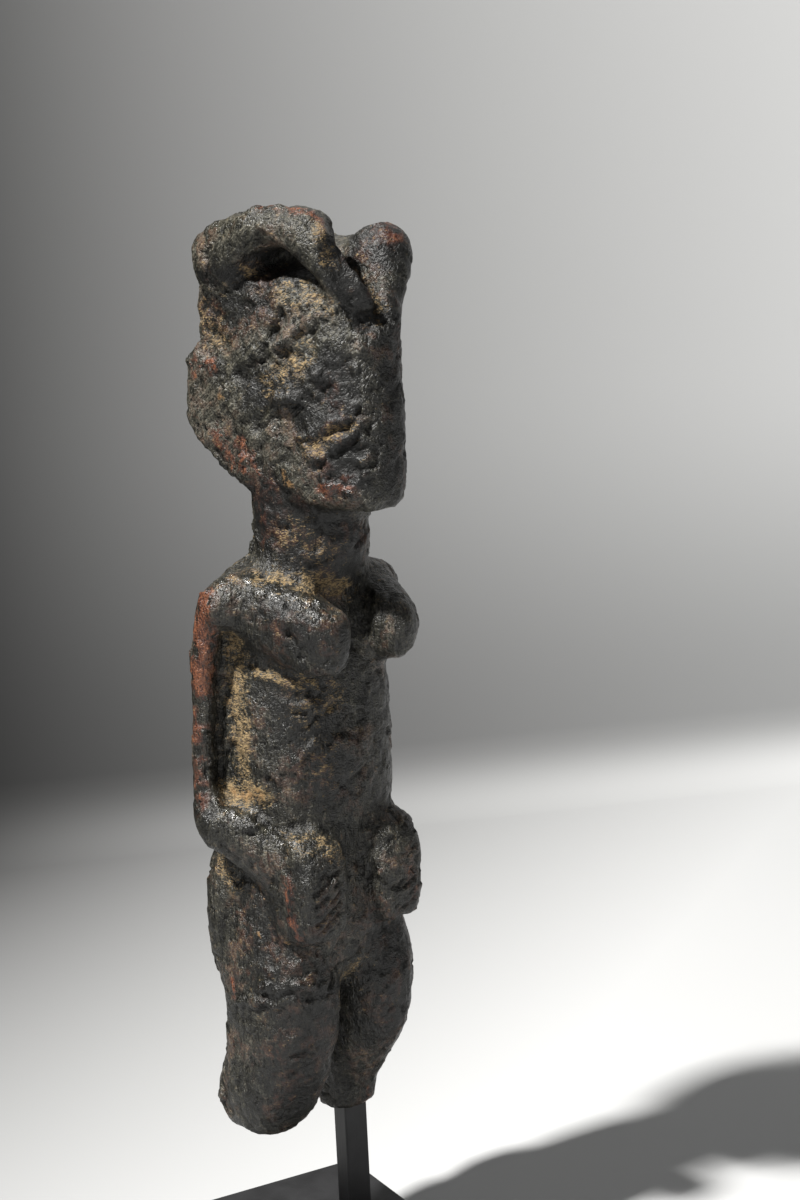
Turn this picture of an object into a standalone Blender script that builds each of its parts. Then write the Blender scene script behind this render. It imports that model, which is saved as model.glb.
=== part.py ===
"""Small carved wooden standing figure with broken legs, on a square rod and a flat metal plate.

Metres, +Z up. The figure looks along -Y, its own left side is +X, and the plate's underside is z = 0.
The wood is one carved piece: its masses are lofts, fused by a remesh, softened and thinned out.
"""

import math

import bmesh
import bpy
import numpy as np
from mathutils import Matrix, Vector

# Driving dimensions, in metres
FIGURE_HEIGHT = 0.230
PLATE_LENGTH = 0.090
PLATE_WIDTH = 0.060
PLATE_THICKNESS = 0.006
PLATE_EDGE_BEVEL = 0.0005
ROD_SIDE = 0.0064
ROD_EDGE_BEVEL = 0.0004
ROD_IN_LEG = 0.010
FOOT_HEIGHT = 0.0335
SOCKET_CLEARANCE = 0.0003
JOINT_GAP = 0.0003

# The stand is turned a little against the figure, seen from above
STAND_TURN = math.radians(-12.7)

# The carving is laid out in grid steps, 230 to the figure's height, each 1 mm at the real height
GRID = FIGURE_HEIGHT / 230

# The middle of the figure over the plate, and the middle of its left leg's stump from there
FIGURE_SIDE = 0.0018
FIGURE_FRONT = 0.0016
LEG_SIDE = 12 * GRID
LEG_BACK = 8 * GRID
FIGURE_PLACE = Vector((FIGURE_SIDE, -FIGURE_FRONT, PLATE_THICKNESS + FOOT_HEIGHT))
ROD_PLACE = Vector((FIGURE_SIDE + LEG_SIDE, -FIGURE_FRONT + LEG_BACK, 0))

# The carver's unevenness, in grid steps and as a share: the left shoulder sits lower, and the left
# forearm and hand lie closer in
LEFT_DROP = 2
LEFT_REACH = 0.76

# The lofts, and the remesh that fuses them
RING_POINTS = 36
RINGS_PER_STATION = 4
FUSE_VOXEL = 1.15 * GRID
SOFTEN_TURNS = 5
FIGURE_TRIANGLES = 9000

# Colour, roughness and metallic value
WOOD = ((0.045, 0.036, 0.028, 1.0), 0.55, 0.0)
STEEL = ((0.020, 0.020, 0.021, 1.0), 0.45, 0.6)


def clear_scene():
    """Takes every object of the starting scene away."""
    for obj in list(bpy.data.objects):
        bpy.data.objects.remove(obj, do_unlink=True)


def collection(name):
    """A new collection in the scene."""
    made = bpy.data.collections.new(name)
    bpy.context.scene.collection.children.link(made)
    return made


def material(name, finish):
    """A Principled material of one colour, roughness and metallic value."""
    colour, roughness, metallic = finish
    made = bpy.data.materials.new(name)
    made.use_nodes = True
    shader = made.node_tree.nodes["Principled BSDF"]
    shader.inputs["Base Color"].default_value = colour
    shader.inputs["Roughness"].default_value = roughness
    shader.inputs["Metallic"].default_value = metallic
    made.diffuse_color = colour
    return made


def new_object(name, shape, into):
    """An object that holds the bmesh shape, its faces pointing out, in the collection."""
    bmesh.ops.recalc_face_normals(shape, faces=shape.faces)
    mesh = bpy.data.meshes.new(name)
    shape.to_mesh(mesh)
    shape.free()
    obj = bpy.data.objects.new(name, mesh)
    into.objects.link(obj)
    return obj


def cutter(obj):
    """Keeps the object out of the finished model."""
    obj.hide_render = True
    obj.display_type = "WIRE"
    return obj


def cut(obj, tool):
    """Cuts the tool's shape out of the object."""
    difference = obj.modifiers.new(tool.name, "BOOLEAN")
    difference.operation = "DIFFERENCE"
    difference.object = tool


def skin(shape, rings):
    """Adds to shape a closed skin over rings of points, one ring after the other."""
    rows = [[shape.verts.new(point) for point in points] for points in rings]
    count = len(rows[0])
    for lower, upper in zip(rows, rows[1:]):
        for i in range(count):
            j = (i + 1) % count
            shape.faces.new((lower[i], lower[j], upper[j], upper[i]))
    shape.faces.new(rows[0])
    shape.faces.new(rows[-1])


def smooth_rows(stations):
    """The stations with more between them, each column on a Catmull-Rom curve."""
    table = np.array(stations, float)
    table = np.vstack([2 * table[0] - table[1], table, 2 * table[-1] - table[-2]])
    rows = []
    for before, start, end, after in zip(table, table[1:], table[2:], table[3:]):
        for t in np.arange(RINGS_PER_STATION) / RINGS_PER_STATION:
            rows.append(
                start
                + 0.5 * t * (end - before)
                + t**2 * (before - 2.5 * start + 2 * end - 0.5 * after)
                + t**3 * (1.5 * (start - end) + 0.5 * (after - before))
            )
    rows.append(table[-2])
    return np.array(rows)


def loft(shape, stations, roundness=0.85, taper=0.0, level=False):
    """Adds to shape a closed skin over flattened rings.

    A station is side, front, height, half width and half depth, in grid steps. The rings lie level, or
    square to the path through the stations, and a ring's width runs sideways, or upright where the path
    itself runs sideways. Roundness 1 is an ellipse and less is boxier. Taper makes a ring narrower in
    front and wider behind.
    """
    rows = smooth_rows(stations)
    turn = np.linspace(0, 2 * math.pi, RING_POINTS, endpoint=False)
    across = np.sign(np.sin(turn)) * np.abs(np.sin(turn)) ** roundness * (1 - taper * np.cos(turn))
    along = np.sign(np.cos(turn)) * np.abs(np.cos(turn)) ** roundness
    paths = np.gradient(rows[:, :3], axis=0)
    rings = []
    for row, path in zip(rows, paths):
        middle = Vector((row[0], -row[1], row[2])) * GRID
        normal = Vector((0, 0, 1)) if level else Vector((path[0], -path[1], path[2])).normalized()
        side = Vector((0, 0, 1)) if abs(normal.x) > 0.8 else Vector((1, 0, 0))
        side = (side - side.dot(normal) * normal).normalized()
        forward = side.cross(normal)
        wide, deep = np.maximum(row[3:], 0.2) * GRID
        rings.append([middle + side * wide * a + forward * deep * b for a, b in zip(across, along)])
    skin(shape, rings)


def lump(shape, centre, radii):
    """Adds to shape an ellipsoid. Its centre and radii are side, front and height in grid steps."""
    side, front, height = centre
    place = Matrix.LocRotScale(Vector((side, -front, height)) * GRID, None, Vector(radii) * GRID)
    bmesh.ops.create_uvsphere(shape, u_segments=24, v_segments=16, radius=1, matrix=place)


def head(shape):
    """The long head, a block that narrows to the worn strip of its face, and the round neck."""
    loft(
        shape,
        [
            (0, 24, 160.5, 5, 7),
            (0, 18.5, 162.4, 11.4, 14),
            (0, 13.5, 165.5, 13.2, 19.4),
            (0, 10, 169, 14.4, 23.2),
            (0, 8.2, 173, 15.1, 25.2),
            (0, 5.7, 177, 15.8, 27.7),
            (0, 4.5, 184, 16.3, 29),
            (0, 4.9, 192, 16.1, 28.6),
            (0, 6.4, 199, 15.6, 27.2),
            (0, 7.4, 204.5, 15.2, 26.5),
            (0, 7.2, 208.5, 15, 25.8),
            (0, 6.2, 211.2, 14.6, 24.6),
            (0, 4.4, 213.2, 14, 23),
            (0, 1.6, 215, 12.6, 19.6),
            (0, 0, 216.4, 9, 13),
        ],
        roundness=0.6,
        taper=0.46,
        level=True,
    )
    loft(
        shape,
        [
            (0, 0, 138, 18, 12),
            (0, 1.5, 145, 16, 13.5),
            (0, 3.4, 150, 14, 14),
            (0, 3.8, 157, 14, 14),
            (0, 4.5, 166, 14, 14.5),
            (0, 5, 174, 14, 15),
        ],
        roundness=1,
        level=True,
    )


def crest(shape):
    """The two rolls of hair over the head and the core that carries them above an undercut.

    The right roll's front is worn to a tongue that slopes down to the brow. The left one ends in a knob.
    """
    loft(
        shape,
        [
            (-13, -14, 217, 3, 4),
            (-13, -11.5, 217.4, 6.5, 7.5),
            (-13, -5, 219.6, 7, 7.8),
            (-12.8, 1, 222.6, 7.4, 6.2),
            (-12.4, 6.5, 225, 7.7, 5),
            (-11.4, 13, 225.9, 7.6, 4.4),
            (-10.2, 19, 224.4, 7.2, 5),
            (-8.6, 25, 220.4, 6.6, 5.6),
            (-7, 28.6, 215.6, 5.6, 5.6),
            (-5, 30.4, 211, 4.6, 4.8),
            (-3, 31, 206.6, 3.4, 3.6),
            (-1.4, 30.6, 202.5, 2.2, 2.4),
        ],
        roundness=0.8,
    )
    loft(
        shape,
        [
            (13, -14, 215, 3, 4),
            (13, -11.5, 215.6, 6.5, 6.4),
            (13, -4, 216.8, 7, 6.2),
            (12.8, 5, 217.4, 7, 5.4),
            (11.6, 13.5, 217.2, 6.8, 5.6),
            (10.2, 19, 217.6, 6.9, 6.8),
            (9.6, 22.6, 217.6, 7, 7.8),
            (8.2, 26, 213, 4.6, 4.6),
            (6.8, 27, 208, 3.4, 3.4),
            (5.6, 27, 203, 2.4, 2.4),
        ],
    )
    loft(
        shape,
        [
            (0, 0, 210, 11, 24),
            (0, -1, 215, 9, 21),
            (0, -2, 220, 8, 17),
            (0, -2, 222, 6, 12),
        ],
        roundness=0.75,
        taper=0.4,
        level=True,
    )


def brow_notch(into):
    """The wedge that opens the valley between the rolls down to the brow, deepest in front.

    Its right flank steps out at the right roll's blunt front and leaves a steep tongue beside it.
    """
    top = 234
    left = 5.5
    foot_half = 0.8
    shape = bmesh.new()
    rings = []
    for side, front, foot, right in (
        (1.2, 13, 214.5, 5.5),
        (0.8, 20.8, 209.3, 5.2),
        (0.7, 23.2, 207.7, 12),
        (0.3, 29, 204, 17),
        (-0.4, 38, 199, 21),
    ):
        corners = ((-foot_half, foot), (foot_half, foot), (left, top), (-right, top))
        rings.append([Vector((side + across, -front, height)) * GRID for across, height in corners])
    skin(shape, rings)
    obj = cutter(new_object("brow_notch", shape, into))
    obj.location = FIGURE_PLACE
    return obj


def trunk(shape):
    """Chest, belly and hips, with the buttocks behind and the navel's bulge in front."""
    loft(
        shape,
        [
            (0, -2, 148, 12, 8),
            (0, -2, 145, 18, 11),
            (0, -2.6, 136, 20.4, 15),
            (0, -3, 122, 20.8, 18.2),
            (0, -3, 106, 21.2, 19.2),
            (0, -3.2, 93, 21.2, 18.8),
            (0, -3.6, 82, 20.6, 18),
            (0, -4.4, 70, 20.5, 18),
            (0, -5.5, 58, 21, 18.3),
            (0, -5, 48, 20, 16.6),
            (0, -4, 41, 14, 10),
        ],
        roundness=0.72,
        taper=0.14,
        level=True,
    )
    for side in (-1, 1):
        lump(shape, (side * 10.8, -14.2, 56), (11.6, 12, 26))
    lump(shape, (0, 9.5, 102), (9, 7.5, 11))


def shoulders_and_breasts(shape):
    """The bar of the shoulders, and the two heavy breasts that grow out of it."""
    for side, drop in ((-1, 0), (1, LEFT_DROP)):
        loft(
            shape,
            [
                (side * 4, -0.5, 139, 8, 9),
                (side * 14, -0.5, 139.5 - drop, 7.2, 9),
                (side * 21, -1.5, 139 - drop, 6.6, 7.8),
                (side * 26, -3, 138 - drop, 4.8, 5.6),
                (side * 28.5, -4, 137 - drop, 2.2, 2.8),
            ],
        )
    loft(
        shape,
        [
            (-16, 1, 137.6, 7.6, 8.3),
            (-14.6, 8.5, 135, 7.6, 8.6),
            (-12.8, 15.5, 132, 7, 8.8),
            (-11.4, 20.4, 130.6, 6, 8.2),
            (-10.4, 24, 130.2, 4.4, 6.8),
            (-10, 25.8, 130, 2, 4),
        ],
        roundness=0.62,
    )
    loft(
        shape,
        [
            (16, 1, 137, 8, 8.5),
            (14.4, 8, 134, 7.6, 8.4),
            (12.6, 15, 131, 7, 8.3),
            (11.3, 20, 129.8, 5.5, 7.9),
            (10.6, 23.3, 129.3, 3.7, 6.2),
            (10.4, 25, 129, 1.7, 3.4),
        ],
        roundness=0.95,
    )


def arms(shape):
    """Thin upper arms clear of the body, heavier forearms, and blocky hands laid on the belly."""
    for side, drop, reach in ((-1, 0, 1), (1, LEFT_DROP, LEFT_REACH)):
        loft(
            shape,
            [
                (side * 25.6, -3, 141 - drop, 3.4, 4),
                (side * 26.2, -7, 130, 2.8, 3.6),
                (side * 25.7, -9.7, 115, 2.3, 3.4),
                (side * 26.2, -10.4, 100, 2.4, 3.4),
                (side * 26.6, -9.2, 86, 3.2, 4),
            ],
            roundness=0.9,
        )
        inward = side * reach
        loft(
            shape,
            [
                (inward * 26.8, -11.5, 87, 3, 3.5),
                (inward * 25.8, -7.5, 85, 4.6, 5.8),
                (inward * 21.4, -1, 80.4, 5, 6.8),
                (inward * 17.4, 5, 75.5, 5.2, 7),
                (inward * 13.5, 10, 70, 5.5, 6.4),
            ],
            roundness=0.9,
        )
        loft(
            shape,
            [
                (inward * 13.8, 8.5, 78, 6, 6.5),
                (inward * 13.8, 11.4, 76, 7.2, 8.2),
                (inward * 13.8, 12.2, 70, 7.3, 8.4),
                (inward * 13.8, 12.2, 63, 7.1, 8),
                (inward * 13.8, 12, 58, 6.2, 6.8),
                (inward * 13.8, 12, 56.6, 4, 4),
            ],
            roundness=0.5,
        )


def legs(shape):
    """Bent legs, broken below the knee: the right one a thick stump, the left one worn thin."""
    loft(
        shape,
        [
            (-11.5, -5, 62, 9.5, 14),
            (-12, -4, 50, 10.8, 16),
            (-12, -3, 39, 11, 16.3),
            (-12, -3.6, 29, 10.8, 15.6),
            (-12.2, -6, 20, 10.8, 15),
            (-12.6, -9, 13, 10.8, 13.8),
            (-12.8, -10.5, 7, 9.8, 12),
            (-12.8, -10.5, 3.6, 8, 8),
            (-12.8, -10.5, 2.6, 4, 4),
        ],
        level=True,
    )
    loft(
        shape,
        [
            (11.5, -5, 62, 9.5, 14),
            (12, -3.5, 50, 10.8, 15.5),
            (12, -2.2, 39, 11, 15.8),
            (12, -3, 30, 10.6, 14.8),
            (12, -4.6, 23, 10, 13.2),
            (12, -6.6, 16.5, 9.2, 11.2),
            (12, -8.6, 11, 8.2, 9),
            (12, -9.4, 6, 7.4, 7.6),
            (12, -9.6, 2, 7, 7),
            (12, -9.6, 0.6, 5.4, 5.4),
        ],
        level=True,
    )


def fuse(obj):
    """Remeshes all the object's shells into one."""
    remesh = obj.modifiers.new("fuse", "REMESH")
    remesh.mode = "VOXEL"
    remesh.voxel_size = FUSE_VOXEL


def figure(into, tools, finish):
    """The whole carving as one fused solid, still without the rod's socket."""
    shape = bmesh.new()
    for mass in (head, crest, trunk, shoulders_and_breasts, arms, legs):
        mass(shape)
    obj = new_object("figure", shape, into)
    obj.location = FIGURE_PLACE
    obj.data.materials.append(finish)
    fuse(obj)
    cut(obj, brow_notch(tools))
    fuse(obj)
    soften = obj.modifiers.new("soften", "SMOOTH")
    soften.iterations = SOFTEN_TURNS
    thin = obj.modifiers.new("thin", "DECIMATE")
    bpy.context.view_layer.update()
    evaluated = obj.evaluated_get(bpy.context.evaluated_depsgraph_get())
    full = evaluated.to_mesh()
    full.calc_loop_triangles()
    thin.ratio = min(1, FIGURE_TRIANGLES / len(full.loop_triangles))
    evaluated.to_mesh_clear()
    return obj


def box(name, size, centre, into):
    """A box turned with the stand."""
    shape = bmesh.new()
    bmesh.ops.create_cube(shape, size=1, matrix=Matrix.Diagonal((*size, 1)))
    obj = new_object(name, shape, into)
    obj.location = centre
    obj.rotation_euler = (0, 0, STAND_TURN)
    return obj


def bevel(obj, width):
    """Breaks the object's edges."""
    edge = obj.modifiers.new("edge", "BEVEL")
    edge.width = width
    edge.segments = 2


def upright(name, side, low, high, into):
    """A square bar at the rod's place, from one height to another."""
    return box(name, (side, side, high - low), ROD_PLACE + Vector((0, 0, (low + high) / 2)), into)


def build():
    """Makes the figure, its rod and its plate."""
    clear_scene()
    parts = collection("standing_figure")
    tools = collection("cutters")
    wood = material("worn_wood", WOOD)
    steel = material("black_steel", STEEL)

    carving = figure(parts, tools, wood)

    plate_size = (PLATE_WIDTH, PLATE_LENGTH, PLATE_THICKNESS)
    plate = box("stand_plate", plate_size, (0, 0, PLATE_THICKNESS / 2), parts)
    plate.data.materials.append(steel)
    bevel(plate, PLATE_EDGE_BEVEL)

    rod_top = PLATE_THICKNESS + FOOT_HEIGHT + ROD_IN_LEG
    rod = upright("stand_rod", ROD_SIDE, PLATE_THICKNESS + JOINT_GAP, rod_top, parts)
    rod.data.materials.append(steel)
    bevel(rod, ROD_EDGE_BEVEL)

    # The square socket in the left leg, open below
    socket_side = ROD_SIDE + 2 * SOCKET_CLEARANCE
    socket = upright("rod_socket", socket_side, PLATE_THICKNESS, rod_top + SOCKET_CLEARANCE, tools)
    cut(carving, cutter(socket))


build()
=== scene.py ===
"""Looks of a small weathered wooden figure on its black steel stand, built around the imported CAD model."""

import math

import bmesh
import bpy
import numpy as np
from mathutils import Matrix, Vector


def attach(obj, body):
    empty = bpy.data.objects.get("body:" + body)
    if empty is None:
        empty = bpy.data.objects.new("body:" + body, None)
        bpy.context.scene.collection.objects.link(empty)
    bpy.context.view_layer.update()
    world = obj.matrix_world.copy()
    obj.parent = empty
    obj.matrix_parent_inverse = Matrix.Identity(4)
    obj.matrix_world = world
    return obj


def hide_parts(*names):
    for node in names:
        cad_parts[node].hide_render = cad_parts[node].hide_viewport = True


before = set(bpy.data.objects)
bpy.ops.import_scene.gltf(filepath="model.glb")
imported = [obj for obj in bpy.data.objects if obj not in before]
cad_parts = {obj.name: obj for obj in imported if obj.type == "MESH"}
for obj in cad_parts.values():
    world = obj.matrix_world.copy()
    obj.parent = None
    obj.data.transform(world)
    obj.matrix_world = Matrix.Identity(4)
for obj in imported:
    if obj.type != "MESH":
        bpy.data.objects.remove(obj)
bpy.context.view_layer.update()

# Stand: a flat bar cut to a plate and a square rod that stands on it, both of black-painted mild steel.
# They keep their CAD shape. The paint is thin and satin, with the bar's mill grain faintly under it.


class Link:
    """A shader output that takes part in arithmetic: an expression on links and numbers adds Math nodes."""

    def __init__(self, socket):
        self.socket = socket

    def node(self, kind, settings=(), sockets=(), output=0):
        """Adds a node to the same tree: settings first, a ramp's stops among them, then its sockets."""
        tree = self.socket.id_data
        made = tree.nodes.new("ShaderNode" + kind)
        for name, value in dict(settings).items():
            if name == "stops":
                for stop, (position, colour) in zip(ramp_stops(made, len(value)), value):
                    stop.position = position
                    stop.color = (*colour, 1.0)
            else:
                setattr(made, name, value)
        for name, value in dict(sockets).items():
            if isinstance(value, Link):
                tree.links.new(value.socket, made.inputs[name])
            else:
                made.inputs[name].default_value = value
        return Link(made.outputs[output])

    def math(self, operation, *values):
        return self.node("Math", {"operation": operation}, enumerate(values))

    def __add__(self, other):
        return self.math("ADD", self, other)

    def __sub__(self, other):
        return self.math("SUBTRACT", self, other)

    def __rsub__(self, other):
        return self.math("SUBTRACT", other, self)

    def __mul__(self, other):
        return self.math("MULTIPLY", self, other)

    __radd__ = __add__
    __rmul__ = __mul__

    def between(self, low, high):
        """0 below low, 1 above high, and a smooth step from one to the other."""
        sockets = {"Value": self, "From Min": low, "From Max": high}
        return self.node("MapRange", {"interpolation_type": "SMOOTHSTEP"}, sockets)

    def noise(self, size, detail=2.0, roughness=0.5, distortion=0.0):
        """Noise over this position, with features of about that size in millimetres."""
        sockets = {
            "Vector": self,
            "Scale": 1 / size,
            "Detail": detail,
            "Roughness": roughness,
            "Distortion": distortion,
        }
        return self.node("TexNoise", {}, sockets)

    def stretched(self, side, front, height):
        """This position with each axis drawn out by its factor, so that a pattern on it runs that way."""
        scale = (1 / side, 1 / front, 1 / height)
        return self.node("VectorMath", {"operation": "MULTIPLY"}, {0: self, 1: scale})


def ramp_stops(ramp_node, count):
    """The colour ramp's stops, as many as asked for."""
    elements = ramp_node.color_ramp.elements
    while len(elements) < count:
        elements.new(1.0)
    return elements


def blend(mask, below, above):
    """The colour below where mask is 0 and the colour above where it is 1."""
    below, above = (v if isinstance(v, Link) else (*v, 1.0) for v in (below, above))
    settings = {"data_type": "RGBA"}
    return mask.node("Mix", settings, {0: mask, 6: below, 7: above}, output=2)


def surface(name):
    """A new material, its Principled shader and the position on the object in millimetres."""
    material = bpy.data.materials.new(name)
    material.use_nodes = True
    tree = material.node_tree
    where = Link(tree.nodes.new("ShaderNodeTexCoord").outputs["Object"])
    where = where.node("VectorMath", {"operation": "SCALE"}, {"Vector": where, "Scale": 1000.0})
    return material, tree.nodes["Principled BSDF"], where


def feed(shader, **values):
    """Links or sets the shader's sockets. Their names are given in lower case with underscores."""
    for name, value in values.items():
        socket = shader.inputs[name.replace("_", " ").title()]
        if isinstance(value, Link):
            socket.id_data.links.new(value.socket, socket)
        else:
            socket.default_value = value


black_steel, shader, where = surface("black_steel")
mottle = where.noise(9.0, detail=4.0)
mill_grain = where.stretched(1, 1, 14).noise(0.5, detail=3.0)
orange_peel = where.noise(0.7, detail=1.0)
feed(
    shader,
    base_color=blend(mottle.between(0.3, 0.75), (0.017, 0.017, 0.018), (0.032, 0.032, 0.034)),
    roughness=0.36 + 0.16 * mottle + 0.1 * mill_grain,
    metallic=0.35,
    normal=mottle.node(
        "Bump", {}, {"Strength": 0.25, "Distance": 0.0001, "Height": mill_grain + 0.5 * orange_peel}
    ),
)
for name in ("stand_plate", "stand_rod"):
    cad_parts[name].material_slots[0].material = black_steel

# Figure: one piece of hard wood, carved with adze and knife, then crusted, rubbed and eroded for a long
# time. The CAD solid is refined to a close, even skin. Each mark pushes the skin's points along its normals,
# and the material adds the finest grit, the colours of crust, dust and bare wood, painted shade in hollows
# and in a few shadowed places, and the polish.

# The figure's own axes: side to its left, front and height, in millimetres from the middle of its feet
FIGURE_MIDDLE = np.array((0.0018, -0.0016, 0.0395))
SKIN_VOXEL = 0.00073
SKIN_SMOOTHING = 9


def refined(node, name):
    """A copy of a CAD node, merged, remeshed to even small faces and smoothed until its facets are gone."""
    shape = bmesh.new()
    shape.from_mesh(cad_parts[node].data)
    bmesh.ops.remove_doubles(shape, verts=shape.verts, dist=1e-6)
    mesh = bpy.data.meshes.new(name)
    shape.to_mesh(mesh)
    shape.free()
    obj = bpy.data.objects.new(name, mesh)
    bpy.context.scene.collection.objects.link(obj)
    skin = obj.modifiers.new("skin", "REMESH")
    skin.mode = "VOXEL"
    skin.voxel_size = SKIN_VOXEL
    smoothing = obj.modifiers.new("smoothing", "SMOOTH")
    smoothing.iterations = SKIN_SMOOTHING
    smoothing.factor = 0.5
    seen = obj.evaluated_get(bpy.context.evaluated_depsgraph_get())
    obj.data = bpy.data.meshes.new_from_object(seen)
    obj.modifiers.clear()
    return obj


def smooth_step(value, low, high):
    """0 below low, 1 above high, 3t^2 - 2t^3 between."""
    t = np.clip((value - low) / (high - low), 0, 1)
    return t * t * (3 - 2 * t)


def lattice_noise(points, size, seed):
    """Smooth noise, about -1 to 1. Every corner of a lattice of that cell size has a random slope, and a
    point blends the slopes of its cell's eight corners by 6t^5 - 15t^4 + 10t^3 along each axis."""
    draw = np.random.default_rng(seed)
    order = draw.permutation(256)
    slopes = draw.normal(size=(256, 3))
    slopes /= np.linalg.norm(slopes, axis=1)[:, None]
    scaled = points / size + draw.uniform(0, 90, 3)
    cell = np.floor(scaled).astype(int)
    inside = scaled - cell
    share = inside**3 * (inside * (inside * 6 - 15) + 10)
    total = np.zeros(len(points))
    for corner in np.ndindex(2, 2, 2):
        corner = np.array(corner)
        x, y, z = ((cell + corner) & 255).T
        slope = slopes[order[(order[(order[x] + y) & 255] + z) & 255]]
        weight = np.prod(np.where(corner, share, 1 - share), axis=1)
        total += weight * np.einsum("ij,ij->i", slope, inside - corner)
    # Blended slopes reach only about 0.6
    return total * 1.6


def layered_noise(points, size, layers, seed):
    """Lattice noise, plus half as much of half the size, and so on for so many layers."""
    return sum(lattice_noise(points, size / 2**i, seed + i) / 2**i for i in range(layers))


def chipped(points, size, seed):
    """Broken facets, about -1 to 1: a point lies on the tilted plane of the nearest of one random grain in
    each cell of a lattice, and every grain's plane also has a random level."""
    draw = np.random.default_rng(seed)
    order = draw.permutation(256)
    places = draw.uniform(0, 1, (256, 3))
    tilts = draw.normal(size=(256, 3))
    levels = draw.uniform(-0.5, 0.5, 256)
    scaled = points / size
    cell = np.floor(scaled).astype(int)
    nearest = np.full(len(points), 9.0)
    facet = np.zeros(len(points))
    for step in np.ndindex(3, 3, 3):
        other = cell + np.array(step) - 1
        x, y, z = (other & 255).T
        grain = order[(order[(order[x] + y) & 255] + z) & 255]
        away = scaled - other - places[grain]
        gap = np.einsum("ij,ij->i", away, away)
        plane = levels[grain] + np.einsum("ij,ij->i", away, tilts[grain])
        facet = np.where(gap < nearest, plane, facet)
        nearest = np.minimum(gap, nearest)
    return facet


def stroke(points, start, end, width):
    """1 on the line from start to end, falling smoothly to 0 at that width from it."""
    start, end = np.array(start, float), np.array(end, float)
    along = end - start
    t = np.clip((points - start) @ along / (along @ along + 1e-9), 0, 1)
    gap = np.linalg.norm(points - start - t[:, None] * along, axis=1)
    return smooth_step(-gap, -width, 0)


figure = refined("figure", "carved_figure")
mesh = figure.data
count = len(mesh.vertices)
flat = np.empty(count * 3)
mesh.vertices.foreach_get("co", flat)
metres = flat.reshape(-1, 3).copy()
mesh.vertex_normals.foreach_get("vector", flat)
normals = flat.reshape(-1, 3).copy()
edges = np.empty(len(mesh.edges) * 2, int)
mesh.edges.foreach_get("vertices", edges)
edges = edges.reshape(-1, 2)
TO_FIGURE = np.array((1, -1, 1))
points = (metres - FIGURE_MIDDLE) * TO_FIGURE * 1000
outward = normals * TO_FIGURE
side, front, height = points.T


def neighbour_mean(field, turns):
    """The field averaged over each point's neighbours on the skin, so many times."""
    first, second = edges.T
    near = np.bincount(first, minlength=count) + np.bincount(second, minlength=count)
    for _ in range(turns):
        total = np.bincount(first, field[second], count) + np.bincount(second, field[first], count)
        field = 0.5 * field + 0.5 * total / near
    return field


# Where the kinds of surface are: the head, the crest's rolls and the wood that holds the stand's rod
is_head = smooth_step(height, 159, 165)
is_roll = smooth_step(height, 211, 215)
near_rod = stroke(points, (12, -8, -4), (12, -8, 9), 8.5)

# Marks and fields are read at points that are bent a little out of true, so that no line is straight
WARP = 1.6
warp = np.stack([layered_noise(points, 4.5, 3, 11 + i) for i in range(3)], axis=1)
bent = points + WARP * warp

# Adze work: broad shallow facets with blunt edges. All heights are in millimetres.
push = 0.35 * lattice_noise(points, 17, 1) + 0.36 * chipped(points + 2.0 * warp, 11, 3)

# Erosion along the head's sides: torn fibres that fan from the brow down to the nape, and broken chips
FAN_SLOPE = math.radians(36)
along = front * math.cos(FAN_SLOPE) + height * math.sin(FAN_SLOPE)
athwart = height * math.cos(FAN_SLOPE) - front * math.sin(FAN_SLOPE)
fanned = np.stack([side * 0.6, along / 5.5, athwart], axis=1) + 0.45 * warp
fibres = 1 - 2 * np.abs(layered_noise(fanned, 3.0, 3, 21))
sides = np.clip(np.abs(outward[:, 0]), 0, 1)
torn = is_head * (1 - is_roll) * (0.2 + 0.8 * sides)
bent_along = np.stack([side, along / 2.4, athwart], axis=1) + 0.9 * warp
push += torn * (0.28 * (fibres - 0.4) + 0.4 * chipped(bent_along, 5.6, 25))

# Crust, flakes and old grain everywhere
upright = points * np.array((1, 1, 0.2)) + 0.4 * warp
grain = 1 - 2 * np.abs(layered_noise(upright, 2.2, 3, 31))
crust = layered_noise(bent, 3.0, 3, 41)
push += 0.12 * grain * (1 - torn) + 0.13 * crust + (0.2 - 0.08 * torn) * chipped(bent, 5.2, 45)

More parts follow.
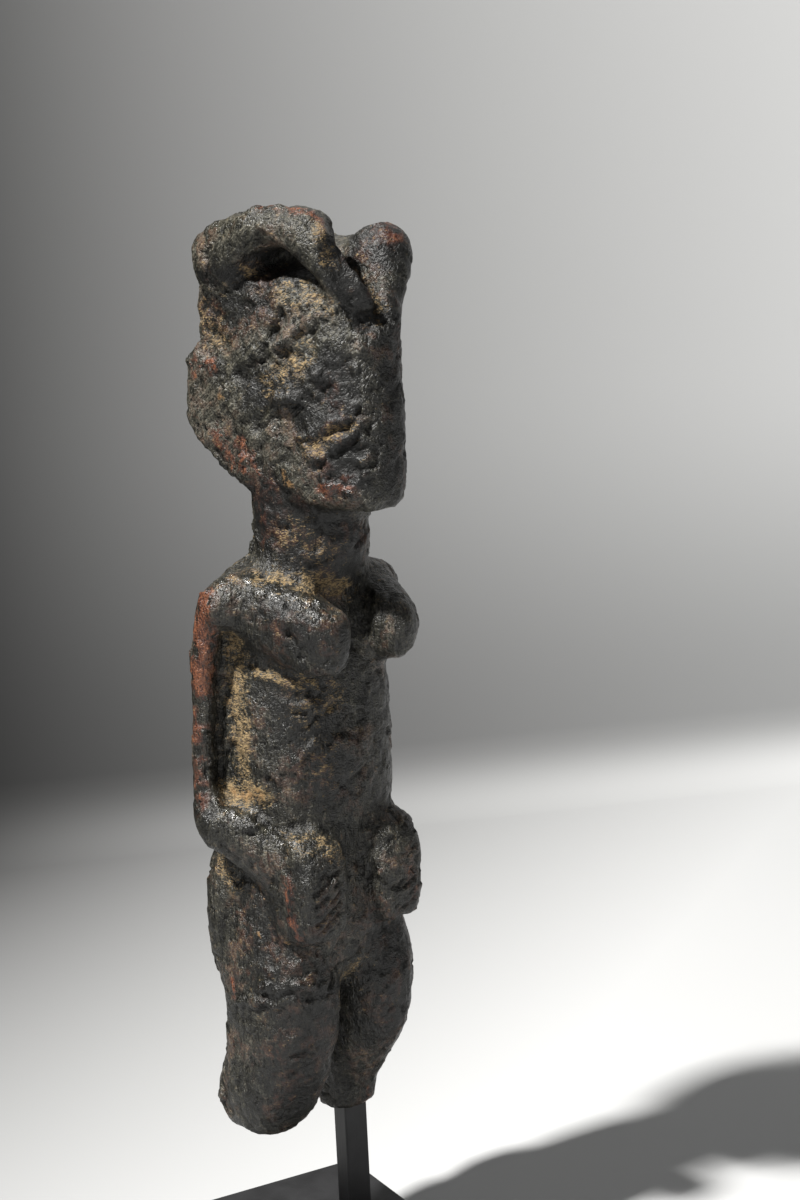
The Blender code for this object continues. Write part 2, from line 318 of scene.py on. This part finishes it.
# Single marks on the side that the photograph shows: their width, their height over the skin or, below 0,
# their depth, and the points that they run through
marks = (
    ("deep pit", 2.8, -2.2, (-14.2, 14.6, 207.4), (-15.2, 10.2, 201.4)),
    ("pit below it", 2.6, -1.1, (-15.3, 9.5, 199.8), (-15.8, 7.6, 196.0)),
    ("gouge", 4.2, -0.65, (-15.0, 14.0, 195.0), (-12.6, 21.0, 203.0)),
    ("gouge to the nape", 4.4, -0.7, (-16.6, 0.0, 191.6), (-15.2, 12.0, 194.4), (-13.2, 20.0, 200.0)),
    ("ledge over the gouge", 2.4, 0.8, (-16.0, 6.0, 196.6), (-14.0, 16.0, 201.0), (-12.0, 22.0, 206.0)),
    ("brow hollow", 5, -0.55, (-8.6, 28.2, 204.0), (-7.8, 29.2, 198.4)),
    (
        "rim of the head",
        2.2,
        0.8,
        (-16.4, -4.0, 212.4),
        (-16.0, 4.0, 214.0),
        (-9.8, 17.0, 214.2),
        (-7.6, 29.0, 211.0),
    ),
    ("rim of the brow", 2.0, 0.7, (-7.4, 30.2, 211.0), (-4.6, 32.4, 204.6)),
    ("undercut over the rim", 2.2, -1.4, (-16.0, 6.0, 217.4), (-12.0, 17.0, 217.6), (-9.0, 26.6, 215.0)),
    ("edge of the face", 2.6, 0.7, (-6.6, 31.2, 201.0), (-6.2, 31.8, 186.0), (-6.6, 31.0, 168.0)),
    ("cheek boss", 4.6, 1.2, (-15.2, 12.6, 185.6), (-15.0, 15.4, 186.4)),
    ("cheek gash", 4.4, -0.8, (-10.9, 24.6, 188.0), (-13.9, 18.2, 182.0), (-14.8, 13.4, 173.6)),
    ("jaw ridge", 1.8, 1.1, (-13.9, 17.0, 177.4), (-7.6, 29.4, 184.6)),
    ("jaw groove", 2, -0.6, (-13.3, 19.0, 175.4), (-7.4, 29.6, 181.6)),
    ("second jaw ridge", 1.6, 0.9, (-13.3, 19.0, 172.6), (-7.6, 29.2, 178.8)),
    ("second jaw groove", 1.9, -0.45, (-13.0, 19.4, 170.0), (-7.8, 29.0, 176.0)),
    ("jaw lump", 2.3, 0.9, (-11.2, 23.0, 167.4), (-10.4, 24.6, 166.6)),
    ("front jaw lump", 2.2, 0.8, (-8.8, 27.2, 165.6), (-7.9, 28.2, 165.2)),
    ("nape ledge", 2.4, 0.6, (-15.0, -19.0, 195.0), (-18.0, -6.0, 194.0)),
    ("nape groove", 4.4, -0.8, (-16.0, -18.0, 201.0), (-17.6, -4.0, 199.0)),
    ("lump below the roll", 2.6, 0.9, (-17.4, -9.6, 212.5), (-17.4, -8.0, 209.5)),
    (
        "crest's ridge",
        3.2,
        0.6,
        (-17.6, -6.0, 225.6),
        (-17.4, 8.0, 229.6),
        (-12.0, 19.0, 229.6),
        (-9.4, 27.0, 222.0),
    ),
    ("shoulder knob", 2.6, 0.9, (-27.4, -1.4, 141.0), (-26.4, -0.6, 141.0)),
    (
        "bar's ridge",
        3.0,
        0.8,
        (-25.0, -0.6, 143.4),
        (-19.8, 0.7, 145.6),
        (-17.6, 12.0, 142.4),
        (-13.0, 22.0, 138.6),
    ),
    ("breast groove", 1.6, -1.2, (-18.6, 16.8, 141.0), (-19.4, 17.4, 131.0)),
    ("facet under the breast", 2.4, 0.8, (-19.0, 6.0, 121.6), (-12.4, 13.0, 119.2)),
    ("belly cut", 1.5, -0.9, (-14.6, 12.0, 112.0), (-8.6, 14.8, 116.8)),
    ("second belly cut", 1.5, -0.8, (-13.0, 13.2, 109.4), (-5.6, 15.5, 114.8)),
    ("mark on the belly", 1.4, 0.8, (-15.2, 11.6, 101.6), (-12.0, 13.8, 105.0), (-9.0, 15.0, 102.4)),
    ("groove between arm and hip", 2.4, -0.5, (-25.6, -2.8, 78.6), (-19.6, 0.8, 67.6)),
    ("hip facet's edge", 2.2, 0.5, (-20.0, -2.0, 70.0), (-21.0, -16.0, 62.0)),
    (
        "forearm's ridge",
        2.6,
        0.9,
        (-26.4, -5.0, 90.2),
        (-23.2, 0.6, 87.4),
        (-20.6, 6.4, 83.4),
        (-17.6, 12.4, 80.6),
    ),
    ("edge of the right hand", 1.8, 0.6, (-18.2, 18.2, 76.0), (-18.6, 17.2, 59.0)),
    ("knee fold", 1.7, 1.2, (-23.2, -5.0, 39.6), (-21.0, 7.0, 41.6), (-16.6, 12.0, 41.6)),
    ("second knee fold", 1.7, 1.1, (-22.6, 2.0, 43.8), (-18.4, 10.6, 46.8), (-14.0, 12.4, 45.2)),
    ("third knee fold", 1.4, 0.9, (-21.4, 5.4, 48.4), (-17.2, 11.0, 51.0)),
    ("knee groove", 1.5, -0.5, (-22.8, -1.0, 41.9), (-19.0, 9.8, 44.4), (-14.8, 12.4, 43.6)),
    ("knee lump", 2.2, 1.0, (-18.0, 10.9, 44.6), (-15.8, 12.0, 45.6)),
    ("shin dent", 2.2, -0.6, (-19.2, 8.8, 27.8), (-14.6, 11.8, 29.4)),
    ("shin scar", 1.6, -0.7, (-20.6, 6.0, 20.6), (-16.4, 8.6, 22.4)),
    ("far knee's crease", 2.4, -0.6, (8.0, 12.6, 33.0), (15.4, 10.6, 30.4)),
    ("far shin's ledge", 1.8, 0.7, (6.0, 6.0, 14.6), (14.6, 4.2, 12.6)),
)
worn = 0.55 + 0.9 * smooth_step(layered_noise(points, 3.4, 2, 51), -0.5, 0.5)
for _, width, height_over, *through in marks:
    line = np.max([stroke(bent, a, b, width) for a, b in zip(through, through[1:])], axis=0)
    push += height_over * worn * line

# Knife strokes: rows of short parallel grooves, each row from its first to its last one
rows = (
    ("breast and shoulder", (-21.5, 3, 138), (-14.6, 21.4, 133), (0.4, 0.4, 5.4), 14, 1.15, -0.5),
    ("fingers", (-15.0, 20.0, 72.5), (-14.0, 20.0, 59.5), (3.4, 0.3, 2.2), 6, 1.15, -0.7),
    ("far fingers", (10.6, 19.6, 73), (10.2, 19.6, 60), (3.0, 0.3, 1.9), 6, 1.1, -0.55),
    ("forearm", (-25.6, -4, 89), (-19.5, 8, 80), (0.9, -0.6, 2.4), 9, 1.2, -0.6),
    ("nape", (-17, -2.5, 173), (-15.4, 5, 171), (0.2, 0.6, 4.6), 5, 1.2, -0.7),
    ("neck", (-13, 6, 155), (-6, 15, 148), (2.6, 2.2, 1.0), 7, 1.2, -0.6),
)
for _, first, last, reach, strokes, width, depth in rows:
    reach = np.array(reach)
    for t in np.linspace(0, 1, strokes):
        centre = np.array(first) * (1 - t) + np.array(last) * t
        push += depth * stroke(points + 0.35 * warp, centre - reach, centre + reach, width)

# Below FILLED_FROM the pits are partly filled with crust, and round the rod the wood keeps its CAD shape
FILLED_FROM = -0.9
LEFT_OPEN = 0.55
push = np.where(push < FILLED_FROM, FILLED_FROM + LEFT_OPEN * (push - FILLED_FROM), push)
push *= 1 - near_rod
figure_points = points + outward * push[:, None]

# The valley between the crest's near roll and the brow is sunk as a whole, back and to the middle
VALLEY_WIDTH = 6.4
VALLEY_DEPTH = 4.4
VALLEY_INWARD = np.array((0.69, -0.71, -0.1))
valley = ((-11.4, 31.4, 219.5), (-10.0, 32.8, 213.5), (-7.4, 33.2, 208.8), (-5.0, 32.8, 205.6))
sunk = np.max([stroke(points, a, b, VALLEY_WIDTH) for a, b in zip(valley, valley[1:])], axis=0)
figure_points += VALLEY_DEPTH * sunk[:, None] * VALLEY_INWARD
metres = figure_points / 1000 * TO_FIGURE + FIGURE_MIDDLE
mesh.vertices.foreach_set("co", metres.ravel())
mesh.polygons.foreach_set("use_smooth", np.ones(len(mesh.polygons), bool))
mesh.update()


def height_over_mean(turns):
    """How far each point stands out of the skin's own average over so many turns of its neighbours."""
    mean = np.stack([neighbour_mean(figure_points[:, i], turns) for i in range(3)], axis=1)
    return np.einsum("ij,ij->i", figure_points - mean, outward)


def attribute(name, values):
    """Stores one number per point of the skin."""
    mesh.attributes.new(name, "FLOAT", "POINT").data.foreach_set("value", values.astype(np.float32))


# Small edges stand proud over a few points, and deep places lie low over a wide stretch
EDGE_SPAN = 0.45
DEEPEST = 1.6
attribute("proud", np.clip(0.5 + height_over_mean(turns=6) / EDGE_SPAN, 0, 1))
attribute("deep", np.clip(-height_over_mean(turns=40) / DEEPEST, 0, 1))


def spots(name, *places, added=0):
    """Stores the strongest of some soft spots: each a start, an end, a width and a strength."""
    strengths = [strength * stroke(bent, a, b, width) for a, b, width, strength in places]
    attribute(name, np.max(strengths, axis=0) + added)


# Bare wood where the crust has come off: the outside of the right upper arm and a few chips
spots(
    "bare",
    ((-28.0, -3.0, 140.0), (-28.0, -8.0, 119.0), 6.0, 1.0),
    ((-28.4, -9.0, 112.0), (-28.6, -9.6, 90.0), 5.0, 0.5),
    ((-16.6, -1.8, 176.5), (-15.8, -0.8, 169.5), 3.0, 0.8),
    ((-16.0, 2.4, 174.0), (-15.3, 3.4, 169.8), 2.4, 0.75),
    ((-17.4, -9.0, 178.0), (-16.0, -5.0, 170.0), 5.0, 0.45),
    ((-15.0, 10.0, 230.0), (-9.6, 25.0, 227.5), 5.0, 0.6),
    ((-9.0, 26.0, 224.0), (-5.0, 32.0, 210.0), 4.0, 0.4),
    ((-17.0, -16.0, 194.0), (-17.8, -8.0, 193.8), 4.0, 0.55),
    ((-18.6, 0.0, 140.0), (-16.0, 18.0, 134.0), 7.0, 0.38),
    ((-20.6, 13.6, 74.0), (-19.6, 13.5, 60.0), 4.0, 0.5),
    ((-22.6, -8.2, 43.5), (-22.6, -8.2, 39.5), 2.8, 0.65),
    ((-9.0, 26.8, 167.0), (-11.5, 22.5, 166.0), 5.0, 0.5),
    ((9.0, 27.0, 222.0), (12.0, 22.0, 224.0), 6.0, 0.4),
    ((12.0, 20.0, 70.0), (13.0, 20.0, 60.0), 5.0, 0.38),
    ((14.2, -2.3, 7.0), (14.2, -2.3, 2.0), 3.0, 0.6),
)

# Old sacrificial dust and meal, thick in the sheltered places and thin wherever the skin faces up
spots(
    "dusty",
    ((-19.0, 5.0, 147.0), (-12.4, 13.1, 144.4), 5.0, 1.0),
    ((-12.4, 13.1, 144.4), (3.0, 15.0, 139.5), 5.5, 1.0),
    ((-20.6, -1.0, 133.0), (-21.4, -2.0, 93.0), 6.4, 0.95),
    ((-22.0, -9.0, 92.0), (-20.1, 4.0, 92.6), 5.5, 1.0),
    ((-16.5, 14.0, 81.0), (-9.0, 17.0, 77.0), 5.5, 0.95),
    ((-20.0, 4.0, 122.0), (-11.4, 14.0, 119.2), 3.4, 1.0),
    ((-14.0, 12.6, 112.0), (-4.6, 15.5, 115.7), 6.0, 0.6),
    ((-13.0, 12.0, 118.0), (-8.0, 15.0, 98.0), 9.0, 0.36),
    ((-15.5, -4.0, 215.0), (-15.5, 4.0, 216.0), 4.0, 0.6),
    ((-12.0, 14.0, 211.0), (-8.6, 25.0, 208.0), 6.0, 0.75),
    ((-12.2, 26.2, 225.8), (-13.0, 30.0, 217.0), 3.4, 0.8),
    ((1.0, 20.0, 214.0), (1.0, 30.0, 206.0), 4.0, 0.7),
    ((-13.0, 19.0, 196.0), (-15.0, 10.0, 189.0), 7.0, 0.7),
    ((-13.2, 19.0, 175.4), (-7.4, 29.6, 181.6), 4.5, 0.55),
    ((0.0, 8.0, 48.0), (-3.0, 10.0, 36.0), 6.0, 0.75),
    ((-13.0, 10.0, 155.0), (-4.0, 17.0, 148.0), 8.0, 0.45),
    ((-20.4, -14.0, 72.0), (-21.0, -6.0, 69.0), 7.0, 0.72),
    ((-17.0, -17.0, 208.0), (-17.4, -6.0, 201.0), 7.0, 0.5),
    added=0.22 * smooth_step(outward[:, 2], 0.35, 0.9) * (1 - is_roll),
)

# Spots of yellow ochre
spots(
    "ochre",
    ((-14.0, 11.8, 168.6), (-13.4, 13.4, 167.8), 3.0, 0.9),
    ((-17.6, -5.7, 187.4), (-17.6, -5.4, 185.6), 2.2, 0.7),
    ((-17.3, -9.4, 202.5), (-17.3, -9.0, 199.5), 3.0, 0.6),
    ((-17.4, -9.6, 212.5), (-17.4, -8.0, 208.5), 4.0, 0.55),
    ((-19.8, 0.6, 68.8), (-19.8, 1.2, 66.6), 2.0, 0.9),
    ((-21.2, 0.4, 58.4), (-21.2, 0.8, 57.2), 1.8, 0.8),
    ((-18.2, 8.0, 58.0), (-18.0, 8.4, 55.6), 1.8, 0.7),
    ((-21.9, 3.5, 28.4), (-21.7, 4.2, 28.0), 1.6, 0.7),
    ((-21.4, -4.0, 92.4), (-20.4, 3.0, 92.0), 3.2, 0.75),
    ((-20.9, -3.0, 128.0), (-21.3, -4.0, 104.0), 2.6, 0.55),
)

# Darker places: broad patches of darker crust, and at the spots marked below painted shadow and painted
# shade. A strength above 1 makes it near-black.
spots(
    "dark",
    # The neck: darker crust, and painted shade under the jaw
    ((-12.0, 6.0, 160.0), (-2.0, 17.0, 148.0), 14.0, 2.0),
    ((-19.0, 12.0, 137.0), (-14.0, 22.0, 131.0), 10.0, 0.9),
    ((-15.0, 10.0, 126.0), (-8.0, 14.0, 96.0), 13.0, 0.9),
    ((-15.0, 18.0, 130.0), (-10.0, 26.0, 128.0), 8.0, 0.7),
    ((-17.0, 17.0, 74.0), (-17.0, 17.0, 60.0), 8.0, 0.7),
    ((-12.0, 16.0, 190.0), (-10.0, 24.0, 172.0), 10.0, 0.8),
    ((-16.0, 10.0, 40.0), (-18.0, 6.0, 14.0), 15.0, 0.9),
    ((-19.0, 2.0, 62.0), (-18.0, 4.0, 46.0), 14.0, 0.8),
    # Painted shadow in the valley between the crest's near roll and the brow
    ((-11.0, 30.6, 221.0), (-8.6, 31.4, 212.0), 5.4, 2.6),
    ((-8.6, 31.4, 212.0), (-4.0, 31.0, 205.0), 5.0, 2.4),
    ((-12.6, 30.4, 216.5), (-10.2, 31.4, 210.5), 4.0, 2.0),
    # Painted shadow in the recess under the crest's near roll
    ((-14.0, 2.0, 215.0), (-10.0, 20.0, 218.0), 7.0, 1.5),
    ((-16.5, -6.0, 216.5), (-12.5, 8.0, 218.0), 6.0, 1.5),
    ((6.0, 26.0, 221.0), (14.0, 20.0, 223.0), 11.0, 1.6),
    ((2.0, 31.0, 205.0), (2.0, 31.0, 170.0), 11.0, 0.8),
    ((10.0, 12.0, 56.0), (12.0, 10.0, 30.0), 14.0, 0.9),
    ((-17.0, -8.0, 206.0), (-15.4, 8.0, 208.0), 8.0, 0.7),
    ((-16.0, 4.0, 190.0), (-14.0, 17.0, 188.0), 9.0, 0.7),
    ((-9.6, 26.0, 192.0), (-9.0, 27.0, 170.0), 9.5, 1.5),
)

# Where hands and cloth have polished it
spots(
    "polished",
    ((-17.6, -10.0, 225.0), (-17.4, 6.0, 229.6), 6.5, 2.0),
    ((-17.4, 6.0, 229.6), (-11.0, 19.0, 230.0), 5.0, 1.3),
    ((-25.0, -0.6, 143.4), (-19.8, 0.7, 145.6), 4.0, 1.4),
    ((-19.8, 0.7, 145.6), (-17.6, 12.0, 142.4), 4.0, 1.4),
    ((-17.6, 12.0, 142.4), (-13.0, 22.0, 138.6), 4.0, 1.2),
    ((-26.4, -5.0, 90.2), (-23.2, 0.6, 87.4), 3.6, 1.5),
    ((-23.2, 0.6, 87.4), (-20.6, 6.4, 83.4), 3.4, 1.5),
    ((-20.6, 6.4, 83.4), (-17.6, 12.4, 80.6), 3.4, 1.2),
    ((-16.0, -4.0, 206.0), (-17.0, -8.0, 186.0), 8.0, 0.6),
    ((-15.6, 8.0, 186.0), (-14.8, 16.0, 184.0), 5.0, 0.7),
    ((-12.0, 22.0, 167.0), (-8.0, 28.0, 165.0), 4.0, 0.9),
    ((-22.0, 2.0, 46.0), (-16.0, 12.0, 44.0), 6.0, 0.6),
    ((10.0, 26.0, 223.0), (12.0, 20.0, 223.0), 5.0, 0.5),
)

# The finest layers of the wood are bump, this many metres high at 1
CRUST_HEIGHT = 0.00085

worn_wood, shader, where = surface("worn_wood")


def on_skin(name):
    """One of the skin's stored numbers."""
    return where.node("Attribute", {"attribute_name": name}, {}, output="Fac")


names = ("proud", "deep", "bare", "dusty", "ochre", "polished", "dark")
proud, deep, bare, dusty, ochre, polished, dark = (on_skin(name) for name in names)
patch = where.noise(10.0, detail=4.0, roughness=0.6)
flake = where.noise(2.4, detail=4.0, roughness=0.62, distortion=0.4)
grit = where.noise(0.55, detail=1.5, roughness=0.6)
hairs = where.stretched(2.6, 2.6, 1).noise(0.5, detail=3.0, distortion=1.6)

# Wood fibres: upright in the body, fanned over the sides of the head
turned = where.node("VectorRotate", {"rotation_type": "X_AXIS"}, {"Vector": where, "Angle": FAN_SLOPE})
on_head = where.node("SeparateXYZ", {}, {0: where}, output="Z").between(194, 202)
head_fibre = turned.stretched(1, 8, 1).noise(0.85, detail=3.0, roughness=0.6, distortion=0.6)
body_fibre = where.stretched(1, 1, 6).noise(0.9, detail=2.5, roughness=0.6, distortion=0.8)
fibre = on_head * head_fibre + (1 - on_head) * body_fibre

# The crust's colour, from soot to pale worn crust
tone = 0.26 * flake + 0.22 * patch + 0.28 * grit + 0.24 * fibre
# Darker where the dark spots lie: darker crust in some, painted shadow and shade in others
tone = tone - 0.105 * dark + 0.014 + 0.035 * on_head * (1 - dark.between(0.1, 0.8))
stops = (
    (0.42, (0.0030, 0.0029, 0.0024)),
    (0.49, (0.0104, 0.0099, 0.0072)),
    (0.55, (0.0318, 0.0302, 0.0228)),
    (0.62, (0.1050, 0.0985, 0.0775)),
)
crust_colour = tone.node("ValToRGB", {"stops": stops}, {"Fac": tone})

# Over it the ruddy patches, bare wood, dust, ochre and the dark of deep places
ruddy = (patch.between(0.48, 0.62) * 0.6 + bare.between(0.1, 0.5)) * flake.between(0.42, 0.58)
colour = blend(0.6 * ruddy, crust_colour, (0.075, 0.024, 0.015))
bare_mask = (bare + 1.9 * (flake - 0.5) + 1.0 * (fibre - 0.5)).between(0.42, 0.8)
bare_grain = (0.5 * fibre + 0.5 * grit).between(0.4, 0.6)
bare_colour = blend(bare_grain, (0.040, 0.014, 0.010), (0.185, 0.068, 0.032))
colour = blend(0.9 * bare_mask, colour, bare_colour)
cover = 0.7 * dusty + 0.35 * deep + 1.5 * (flake - 0.5) + 1.9 * (hairs - 0.5) + 0.9 * (patch - 0.5)
dust_mask = cover.between(0.32, 0.85)
dust_colour = blend(hairs.between(0.38, 0.62), (0.055, 0.039, 0.018), (0.27, 0.188, 0.090))
colour = blend(0.9 * dust_mask, colour, dust_colour)
ochre_mask = (ochre + 1.4 * (flake - 0.5) + 0.8 * (grit - 0.5)).between(0.45, 0.9)
colour = blend(0.65 * ochre_mask, colour, (0.26, 0.145, 0.055))
colour = blend(0.5 * deep.between(0.3, 1.0), colour, (0.007, 0.006, 0.005))

# Painted shade: hollows and pinholes are darkened to near-black for the shade that the bump can't cast in
# them. A near-black that is set metallic has next to no gloss of its own
pinholes = 1 - (0.4 * flake + 0.6 * grit).between(0.35, 0.44)
painted_crevice_shade = (0.6 * (1 - proud.between(0.12, 0.45)) + 0.5 * pinholes).between(0.0, 1.0) * (1 - 0.7 * dust_mask)
colour = blend(0.85 * painted_crevice_shade, colour, (0.005, 0.0045, 0.004))

# Rubbed edges are satin, dust is dull, and the darkened places, darker crust and painted shade alike, are
# calmer than the rest
gloss = polished * (patch * 0.5 + flake * 0.5).between(0.4, 0.56)
ridge = (proud.between(0.35, 0.8) * 0.5 + gloss) * (1 - dust_mask)
calm = (0.9 * dark).between(0.2, 1.0)
fine = (1 - 0.6 * gloss.between(0.0, 1.0)) * (1 - 0.3 * calm) * (0.8 + 0.9 * (patch - 0.5))
fine_layers = (0.6 + 0.4 * on_head) * fibre + 0.4 * grit + 0.2 * hairs
height_over_skin = (0.85 - 0.2 * calm) * flake + fine * fine_layers
feed(
    shader,
    base_color=colour,
    metallic=0.6 * painted_crevice_shade,
    roughness=0.46 + 0.32 * dust_mask - 0.2 * ridge + 0.1 * calm + 0.4 * (grit - 0.5),
    normal=where.node("Bump", {}, {"Strength": 1.0, "Distance": CRUST_HEIGHT, "Height": height_over_skin}),
)
mesh.materials.clear()
mesh.materials.append(worn_wood)
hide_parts("figure")
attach(figure, "root")

# Floor and wall: one sheet of pale backing paper that lies flat, turns up in a soft bend and stands
# behind the figure. It isn't part of the object.

WALL_AHEAD = 0.41
WALL_TURN = math.radians(-30.3)
BEND_RADIUS = 0.03


def backing_sheet(name, half_width, ahead, behind, rise):
    """A profile carried straight along the wall: floor, a quarter circle whose depth and level go by the
    sine and 1 minus the cosine of its angle, and wall."""
    arc = np.linspace(0, math.pi / 2, 25)
    depth = np.concatenate([[-behind], ahead - BEND_RADIUS + BEND_RADIUS * np.sin(arc), [ahead]])
    level = np.concatenate([[0], BEND_RADIUS * (1 - np.cos(arc)), [rise]])
    ends = np.array((-half_width, half_width))
    steps = len(depth)
    grid = np.stack([np.repeat(ends, steps), np.tile(depth, 2), np.tile(level, 2)], axis=1)
    first = np.arange(steps - 1)
    faces = np.stack([first, first + steps, first + steps + 1, first + 1], axis=1)
    sheet = bpy.data.meshes.new(name)
    sheet.from_pydata(grid.tolist(), [], faces.tolist())
    sheet.transform(Matrix.Rotation(WALL_TURN, 4, "Z"))
    sheet.polygons.foreach_set("use_smooth", np.ones(len(faces), bool))
    obj = bpy.data.objects.new(name, sheet)
    bpy.context.scene.collection.objects.link(obj)
    return obj


backing = backing_sheet("backing_paper", 3.0, WALL_AHEAD, 2.0, 2.0)
paper, shader, where = surface("paper")

# Painted shade: its tone falls off along the wall, over SHADE_REACH millimetres, and a painted shadow makes
# it darker above the bend
TO_BRIGHT = (0.442, -1.003, 0)
SHADE_REACH = 360
nearness = where.node("VectorMath", {"operation": "DOT_PRODUCT"}, {0: where, 1: TO_BRIGHT}, output="Value")
over_floor = where.node("SeparateXYZ", {}, {0: where}, output="Z")
fold_shadow = over_floor.between(3, 25) * (1 - over_floor.between(30, 190))
painted_paper_shade = (nearness + 350) * (1 / SHADE_REACH) * (1 - 0.4 * fold_shadow)
feed(shader, base_color=blend(painted_paper_shade, (0.0, 0.0, 0.0), (0.52, 0.525, 0.53)), roughness=0.9)

# From behind the wall is clear, so that it hides the figure from no side
behind = where.node("NewGeometry", {}, {}, output="Backfacing")
clear = where.node("BsdfTransparent")
sheet = where.node("MixShader", {}, {0: behind, 1: Link(shader.outputs["BSDF"]), 2: clear})
paper.node_tree.links.new(sheet.socket, paper.node_tree.nodes["Material Output"].inputs["Surface"])
backing.data.materials.append(paper)

# Camera: a little above the figure's head, at its right front, with the long side of the frame upright.
# It looks down and leans a little, as the photograph does.

VIEW_AZIMUTH = math.radians(-42)
VIEW_PITCH = math.radians(10.7)
VIEW_ROLL = math.radians(2.7)
VIEW_DISTANCE = 0.5227
VIEW_ASIDE = 0.0227
VIEW_HEIGHT = 0.2734

toward = Vector((math.sin(VIEW_AZIMUTH), -math.cos(VIEW_AZIMUTH), 0))
right = Vector((math.cos(VIEW_AZIMUTH), math.sin(VIEW_AZIMUTH), 0))
camera = bpy.data.objects.new("camera", bpy.data.cameras.new("camera"))
camera.data.lens = 66
camera.data.clip_start = 0.01
eye = Vector((*FIGURE_MIDDLE[:2], VIEW_HEIGHT)) + VIEW_DISTANCE * toward + VIEW_ASIDE * right
look = Matrix.Rotation(VIEW_AZIMUTH, 4, "Z") @ Matrix.Rotation(math.pi / 2 - VIEW_PITCH, 4, "X")
camera.matrix_world = Matrix.Translation(eye) @ look @ Matrix.Rotation(-VIEW_ROLL, 4, "Z")
bpy.context.scene.collection.objects.link(camera)
bpy.context.scene.camera = camera

# Light: a small square key high on the camera's left, and a pale room all round.

KEY_ROUND = math.radians(36)
KEY_UP = math.radians(58)
KEY_FAR = 1.5
KEY_SIZE = 0.09
KEY_WATTS = 60

key_side = toward * math.sin(KEY_ROUND) - right * math.cos(KEY_ROUND)
key_way = key_side * math.cos(KEY_UP) + Vector((0, 0, 1)) * math.sin(KEY_UP)
key_light = bpy.data.lights.new("key", "AREA")
key_light.size = KEY_SIZE
key_light.energy = KEY_WATTS
key_light.color = (1.0, 0.985, 0.955)
key = bpy.data.objects.new("key", key_light)
key.location = Vector((0, 0, 0.14)) + KEY_FAR * key_way
key.rotation_mode = "QUATERNION"
key.rotation_quaternion = (-key_way).to_track_quat("-Z", "Y")
bpy.context.scene.collection.objects.link(key)

world = bpy.data.worlds.new("room")
world.use_nodes = True
world.node_tree.nodes["Background"].inputs["Color"].default_value = (0.98, 0.98, 0.97, 1.0)
world.node_tree.nodes["Background"].inputs["Strength"].default_value = 0.16
bpy.context.scene.world = world
bpy.context.scene.view_settings.view_transform = "Standard"
